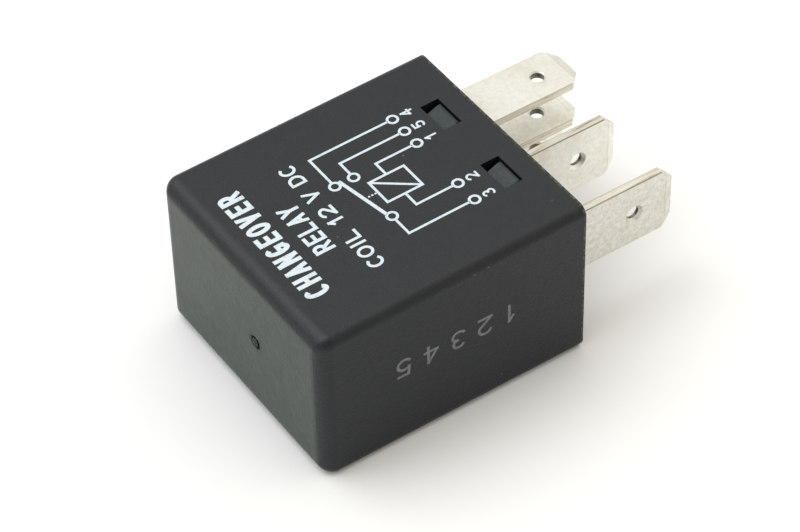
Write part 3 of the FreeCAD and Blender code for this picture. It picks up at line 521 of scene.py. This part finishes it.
class Print:
    """Ink islands on one face of the cover, gathered into one thin mesh."""

    def __init__(self, name, place=on_face):
        self.name = name
        self.place = place
        self.mesh = bmesh.new()
        self.count = 0

    def island(self, outer, inner=None):
        """A flat island from its outline of (from rim, across) points, and its hole's outline."""
        self.count += 1
        lift = INK_LIFT + INK_STEP * self.count
        rings = [[[self.mesh.verts.new(self.place(*point, height)) for point in points]
                  for height in (0.0, lift)] for points in (outer, inner) if points]
        pairs = [(index, (index + 1) % len(outer)) for index in range(len(outer))]
        for low, high in rings:
            for index, after in pairs:
                self.mesh.faces.new((low[index], low[after], high[after], high[index]))
        if inner:
            (_, outside), (_, inside) = rings
            for index, after in pairs:
                self.mesh.faces.new((outside[index], outside[after], inside[after], inside[index]))
        else:
            self.mesh.faces.new(rings[0][1])

    def finish(self, material):
        """Close the mesh and put it on the cover."""
        bmesh.ops.recalc_face_normals(self.mesh, faces=self.mesh.faces)
        mesh = bpy.data.meshes.new(self.name)
        self.mesh.to_mesh(mesh)
        self.mesh.free()
        new_piece(self.name, mesh, "cover", material)


def ribbon(points, width, closed=False):
    """The outline of a line of even width through points, with mitred corners.

    An open ribbon is one outline; a closed one is its outer and its inner outline.
    """
    points = [Vector(point) for point in points]
    count = len(points)
    sides = ([], [])
    for index, point in enumerate(points):
        before = points[index - 1] if index or closed else None
        after = points[(index + 1) % count] if index < count - 1 or closed else None
        incoming = (point - before).normalized() if before else (after - point).normalized()
        outgoing = (after - point).normalized() if after else incoming
        normal = Vector((-incoming.y - outgoing.y, incoming.x + outgoing.x)).normalized()
        reach = width / 2 / max(0.35, normal.dot(Vector((-incoming.y, incoming.x))))
        sides[0].append(tuple(point + normal * reach))
        sides[1].append(tuple(point - normal * reach))
    if closed:
        return sides
    return (sides[0] + sides[1][::-1],)


def bar(start, stop, width, low, high):
    """A straight stroke with square ends, cut off where it leaves the band from low to high."""
    slack = 1e-9
    start, stop = Vector(start), Vector(stop)
    along = (stop - start).normalized() * width / 2
    start, stop = start - along, stop + along
    aside = Vector((-along.y, along.x))
    shape = [start + aside, start - aside, stop - aside, stop + aside]
    for limit, sign in ((low, 1), (high, -1)):
        kept = []
        for index, point in enumerate(shape):
            after = shape[(index + 1) % len(shape)]
            inside, inside_after = ((p.y - limit) * sign >= -slack for p in (point, after))
            if inside:
                kept.append(point)
            if inside != inside_after:
                kept.append(point.lerp(after, (limit - point.y) / (after.y - point.y)))
        shape = kept
    return [tuple(point) for point in shape]


def bow(centre, across, up, start, stop):
    """Points on an ellipse from one angle to another, in degrees."""
    steps = max(6, round(abs(stop - start) / 12))
    angles = [math.radians(start + (stop - start) * step / steps) for step in range(steps + 1)]
    return [(centre[0] + across * math.cos(angle), centre[1] + up * math.sin(angle))
            for angle in angles]


# Letter shapes on a box one wide and one high: straight bars, then curved ribbons.
LETTERS = {
    "A": ([((0, 0), (0.5, 1)), ((0.5, 1), (1, 0)), ((0.2, 0.3), (0.8, 0.3))], []),
    "C": ([], [bow((0.52, 0.5), 0.52, 0.5, 45, 315)]),
    "D": ([((0, 0), (0, 1))], [[(0, 1)] + bow((0.42, 0.5), 0.58, 0.5, 90, -90) + [(0, 0)]]),
    "E": ([((0, 0), (0, 1)), ((0, 1), (1, 1)), ((0, 0.5), (0.9, 0.5)), ((0, 0), (1, 0))], []),
    "G": ([((0.55, 0.42), (1, 0.42)), ((1, 0.42), (1, 0.14))],
          [bow((0.52, 0.5), 0.52, 0.5, 45, 320)]),
    "H": ([((0, 0), (0, 1)), ((1, 0), (1, 1)), ((0, 0.5), (1, 0.5))], []),
    "I": ([((0.5, 0), (0.5, 1))], []),
    "L": ([((0, 0), (0, 1)), ((0, 0), (0.95, 0))], []),
    "N": ([((0, 0), (0, 1)), ((0, 1), (1, 0)), ((1, 0), (1, 1))], []),
    "O": ([], [bow((0.5, 0.5), 0.55, 0.5, 0, 348)]),
    "R": ([((0, 0), (0, 1)), ((0.5, 0.46), (1, 0))],
          [[(0, 1)] + bow((0.55, 0.73), 0.4, 0.27, 90, -90) + [(0, 0.46)]]),
    "V": ([((0, 1), (0.5, 0)), ((0.5, 0), (1, 1))], []),
    "Y": ([((0, 1), (0.5, 0.42)), ((1, 1), (0.5, 0.42)), ((0.5, 0.42), (0.5, 0))], []),
    "1": ([((0.62, 0), (0.62, 1)), ((0.62, 1), (0.2, 0.72))], []),
    "2": ([((0, 0), (1, 0))], [bow((0.5, 0.68), 0.5, 0.32, 165, -25) + [(0.02, 0.02)]]),
    "3": ([], [bow((0.46, 0.74), 0.42, 0.26, 160, -85), bow((0.46, 0.27), 0.5, 0.27, 90, -160)]),
    "4": ([((0.72, 0), (0.72, 1)), ((0.72, 1), (0, 0.3)), ((0, 0.3), (1, 0.3))], []),
    "5": ([((0.12, 1), (0.92, 1)), ((0.12, 1), (0.06, 0.52))],
          [bow((0.45, 0.32), 0.52, 0.32, 140, -155)]),
}
NARROW = {"I": 0.35, "1": 0.75, " ": 0.45}  # widths of the characters narrower than one


def write(name, words, baseline, cap_height, middle, length, weight, material, place=on_face):
    """Block letters whose tops point along the face's first direction, read along its second.

    cap_height, length and weight (the strokes' width) are in millimetres, and so are baseline
    and middle, the line's centre, along the face's two directions.
    """
    gap = weight * 0.75
    shares = [NARROW.get(letter, 1.0) for letter in words]
    wide = (length - (gap + weight) * len(words) + gap) / sum(shares)
    start = middle - length / 2 + weight / 2
    skeleton = cap_height - weight
    printed = Print(name, place)
    for letter, share in zip(words, shares):
        bars, bows = LETTERS.get(letter, ((), ()))

        def placed(point):
            return (start + point[0] * wide * share, weight / 2 + point[1] * skeleton)

        for first, last in bars:
            shape = bar(placed(first), placed(last), weight, 0, cap_height)
            printed.island([(baseline + up, across) for across, up in shape])
        for curve in bows:
            closed = letter == "O"
            outlines = ribbon([placed(point) for point in curve], weight, closed)
            printed.island(*([(baseline + up, across) for across, up in outline]
                             for outline in outlines))
        start += wide * share + gap + weight
    printed.finish(material)


def print_cover(material):
    """Generic wording and the changeover relay's circuit, with its terminal numbers."""
    # baseline, cap height, middle, length and weight of each line, in millimetres
    write("print_changeover", "CHANGEOVER", 20.74, 2.1, -0.2, 13.4, 0.40, material)
    write("print_relay", "RELAY", 17.92, 1.8, -0.3, 5.9, 0.31, material)
    write("print_coil", "COIL 12 V DC", 15.72, 1.42, -0.2, 13.5, 0.25, material)
    faint = ink("print_grey", (0.070, 0.074, 0.078), (0.140, 0.147, 0.152))
    write("print_side", "1 2 3 4 5", 6.3, 1.95, 12.4, 11.4, 0.25, faint, on_side)

    # Each terminal's number and ring are at the same place across the face.
    ring_at = 6.39
    row = {"4": 5.95, "5": 4.24, "1": 2.53, "2": -3.14, "3": -5.4}
    for digit, across in row.items():
        write("print_number_" + digit, digit, 4.50, 1.10, across, 0.74, 0.18, material)

    line = 0.22
    arm_line, dot_line = line * 1.45, line * 0.75
    ring_outer = 0.54
    middle_line = ring_outer - line / 2
    resting, working, common = (14.36, 2.3), (12.6, 2.28), (12.6, -3.07)
    coil_side = 10.34
    coil_low, coil_high = (8.68, -1.6), (12.0, 1.05)
    rings = Print("print_rings")
    for centre in [(ring_at, across) for across in row.values()] + [resting, working, common]:
        rings.island(*ribbon(bow(centre, middle_line, middle_line, 0, 350), line, closed=True))
    rings.finish(material)

    lines = Print("print_lines")
    leave = ring_at + middle_line
    routes = [
        [(leave, row["4"]), (resting[0], row["4"]), (resting[0], resting[1] + middle_line)],
        [(leave, row["5"]), (working[0], row["5"]), (working[0], working[1] + middle_line)],
        [(leave, row["1"]), (coil_side, row["1"]), (coil_side, coil_high[1])],
        [(leave, row["2"]), (coil_side, row["2"]), (coil_side, coil_low[1])],
        [(leave, row["3"]), (common[0], row["3"]), (common[0], common[1] - middle_line)],
        [coil_high, coil_low],
    ]
    for route in routes:
        lines.island(*ribbon(route, line))
    box = [coil_low, (coil_high[0], coil_low[1]), coil_high, (coil_low[0], coil_high[1])]
    lines.island(*ribbon(box, line, closed=True))
    arm_start = (common[0] + middle_line * 0.5, common[1] + middle_line * 0.8)
    arm_stop = (resting[0] - 0.55, 2.62)
    lines.island(*ribbon([arm_start, arm_stop], arm_line))
    dot_length, dot_pitch, dots_across = 0.16, 0.3, -0.24
    for dot in range(3):
        start = coil_high[0] + dot_length + dot_pitch * dot
        ends = [(start, dots_across), (start + dot_length, dots_across)]
        lines.island(*ribbon(ends, dot_line))
    lines.finish(material)


# ---------------------------------------------------------------- coil and leaf spring

def wind_coil(material):
    """The winding's outer layer as turns of round wire lying side by side between the flanges."""
    low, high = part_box("coil_winding")
    centre = (low + high) / 2
    outer = (high.y - low.y) / 2
    wire = 0.125 * MM  # the wire's radius
    core = outer - wire * 1.6
    core_bore = core * 0.62
    start, stop = low.x + wire, high.x - wire
    turns = round((stop - start) / (wire * 1.98))
    per_turn = 56
    hill = [math.radians(angle) for angle in (-80, -40, 0, 40, 80)]  # the wire's outer side
    coil = bmesh.new()

    def at(along, radius, turn):
        return coil.verts.new((along, centre.y + radius * math.cos(turn),
                               centre.z + radius * math.sin(turn)))

    before = None
    for step in range(turns * per_turn + 1):
        turn = math.tau * step / per_turn
        middle = start + (stop - start) * step / (turns * per_turn)
        sag = wire * 0.12 * math.sin(turn * 0.37) * math.sin(turn * 0.113)
        heart = outer - wire + sag
        row = [at(middle + wire * math.sin(angle), heart + wire * math.cos(angle), turn)
               for angle in hill]
        if before:
            for index in range(len(hill) - 1):
                coil.faces.new((before[index], row[index], row[index + 1], before[index + 1]))
        before = row
    rings = [[at(along, radius, math.tau * step / per_turn) for step in range(per_turn)]
             for along, radius in ((low.x, core_bore), (low.x, core), (high.x, core),
                                   (high.x, core_bore))]
    for first, second in zip(rings, rings[1:]):
        for index in range(per_turn):
            after = (index + 1) % per_turn
            coil.faces.new((first[index], first[after], second[after], second[index]))
    for face in coil.faces:
        face.smooth = True
    mesh = bpy.data.meshes.new("coil_turns")
    coil.to_mesh(mesh)
    coil.free()
    piece = new_piece("coil_turns", mesh, "base", material)
    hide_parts("coil_winding")


def bent_leaf(material):
    """The contact spring as one bending strip: foot, slotted bulge, arm and narrow tongue."""
    low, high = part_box("contact_spring")
    yoke_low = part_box("yoke")[0]
    thickness = 0.2 * MM
    armature_thickness = 1.2 * MM
    arm_length, neck_at = 17.0, 13.2  # millimetres along the arm
    foot_y = yoke_low.y - thickness / 2
    bulge_y = low.y + thickness / 2
    lean = math.radians(2.2)  # how far the armature stands open at rest
    along = Vector((-math.sin(lean), math.cos(lean)))
    hinge = Vector((yoke_low.x - 0.05 * MM, yoke_low.y))
    behind = Vector((math.cos(lean), math.sin(lean)))
    over = hinge - behind * (armature_thickness + thickness / 2)
    corner = over + along * ((bulge_y - over.y) / along.y)
    tip = over + along * arm_length * MM
    lift_start, lift_end = Vector((-9.5 * MM, foot_y)), Vector((-10.9 * MM, bulge_y))
    corners = [Vector((high.x, foot_y)), lift_start, lift_end, corner, tip]
    bends = (1.2, 1.0, 0.85)  # radii in millimetres
    line = [corners[0]]
    for before, point, after, radius in zip(corners, corners[1:], corners[2:], bends):
        incoming, outgoing = (point - before).normalized(), (after - point).normalized()
        turn = incoming.angle_signed(outgoing)
        side = -1 if turn > 0 else 1
        enter = point - incoming * (radius * MM * math.tan(abs(turn) / 2))
        centre = enter + Vector((-incoming.y, incoming.x)) * radius * MM * side
        steps = 8
        for step in range(steps + 1):
            line.append(centre + Matrix.Rotation(-turn * step / steps, 2) @ (enter - centre))
    arm_steps = 40
    start = line[-1]
    line += [start.lerp(tip, (step + 1) / arm_steps) for step in range(arm_steps)]

    middle = (low.z + high.z) / 2
    half = (high.z - low.z) / 2
    tongue = 1.6 * MM  # half widths of the tongue and of the slot over the hinge
    slot = 1.2 * MM
    slot_x, slot_y = -10.1 * MM, hinge.y - 0.25 * MM
    levels = [middle + level for level in (-half, -tongue, -slot, slot, tongue, half)]
    neck = hinge + along * neck_at * MM
    strip = bmesh.new()
    rows = [[strip.verts.new((point.x, point.y, level)) for level in levels] for point in line]
    for first, second in zip(rows, rows[1:]):
        spot = (first[0].co + second[0].co) / 2
        for index in range(len(levels) - 1):
            outside = index in (0, len(levels) - 2)
            slotted = index == 2 and spot.x < slot_x and spot.y < slot_y
            if (outside and spot.y > neck.y) or slotted:
                continue
            strip.faces.new((first[index], first[index + 1], second[index + 1], second[index]))
    loose = [vert for vert in strip.verts if not vert.link_faces]
    bmesh.ops.delete(strip, geom=loose, context="VERTS")
    bmesh.ops.recalc_face_normals(strip, faces=strip.faces)
    for face in strip.faces:
        face.smooth = True
    mesh = bpy.data.meshes.new("bent_leaf")
    strip.to_mesh(mesh)
    strip.free()
    leaf = bpy.data.objects.new("bent_leaf", mesh)
    bpy.context.scene.collection.objects.link(leaf)
    thicken = leaf.modifiers.new("thickness", "SOLIDIFY")
    thicken.thickness = thickness
    thicken.offset = 0
    edges = leaf.modifiers.new("edges", "BEVEL")
    edges.width = 0.03 * MM
    edges.limit_method = "ANGLE"
    mesh.materials.append(material)
    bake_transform(leaf)
    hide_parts("contact_spring")


# ---------------------------------------------------------------- the whole relay

def paint_nodes():
    """A finished material on every CAD node that shows."""
    base = base_plastic()
    # flat faces along, width along, the width's middle, the hole's X, the tip bevel's X
    narrow = ("Z", "Y", 6.3 * MM, 14.95 * MM, 17.3 * MM)
    wide = ("Y", "Z", 7.8 * MM, 14.4 * MM, 17.55 * MM)
    # Lit and shaded copies of one tin plate: the tones are painted light and shade for how lit each
    # blade is, brightest on the lower and middle blades in the others' shade.
    upper = tinned_blade("tin_on_upper_blade", narrow,
                         tone=0.96, speckle=0.3, edge_light_and_shade=1.1, edge_line=0.6)
    lower = tinned_blade("tin_on_lower_blades", narrow,
                         tone=1.2, speckle=0.4, edge_light_and_shade=1.15, edge_line=0.6)
    near = tinned_blade("tin_on_near_blade", wide,
                        tone=1.0, speckle=0.65, edge_light_and_shade=0.9, edge_line=1.2)
    middle = tinned_blade("tin_on_middle_blade", wide,
                          tone=1.2, speckle=0.4, edge_light_and_shade=0.83, edge_line=1.3)
    iron = metal("plated_iron", [(0.42, 0.42, 0.42), (0.56, 0.56, 0.55), (0.62, 0.61, 0.58)],
                 (0.28, 0.46), 500)
    bronze = metal("leaf_bronze", [(0.55, 0.33, 0.17), (0.68, 0.45, 0.26)], (0.25, 0.42), 700,
                   stretch=(1, 0.1, 1))
    silver = metal("contact_silver", [(0.70, 0.69, 0.66), (0.86, 0.85, 0.83)], (0.22, 0.4), 1500)
    copper = metal("rivet_copper", [(0.50, 0.25, 0.14), (0.72, 0.40, 0.26)], (0.25, 0.45), 1200)
    wire = metal("coil_enamel", [(0.44, 0.14, 0.055), (0.58, 0.21, 0.085)], (0.3, 0.42), 900,
                 metallic=0.7, relief=0.001 * MM)
    solder = metal("solder", [(0.60, 0.61, 0.62), (0.78, 0.79, 0.8)], (0.15, 0.3), 1400)
    moulding = pale_plastic()
    cover = cover_plastic()
    wind_coil(wire)
    bent_leaf(bronze)
    torn_pip(cover)
    finishes = {
        cover: ["cover"], base: ["base_plate"],
        upper: ["terminal_1"], lower: ["terminal_2", "terminal_4"],
        near: ["terminal_3"], middle: ["terminal_5"],
        iron: ["yoke", "iron_core", "armature"],
        silver: ["moving_contact", "fixed_contact_nc", "fixed_contact_no"],
        copper: ["armature_rivets", "yoke_rivets", "common_rivet"],
        wire: ["coil_lead_start", "coil_lead_end"],
        solder: ["solder_joint_1", "solder_joint_2"], moulding: ["coil_bobbin"],
    }
    for material, names in finishes.items():
        for name in names:
            for holder in nodes[name].material_slots:
                holder.material = material


bpy.context.scene.view_settings.view_transform = "Standard"
make_camera()
make_sky()
make_key()
make_floor()
paint_nodes()
print_cover(ink("print_white", (0.46, 0.54, 0.60), (0.58, 0.66, 0.72)))
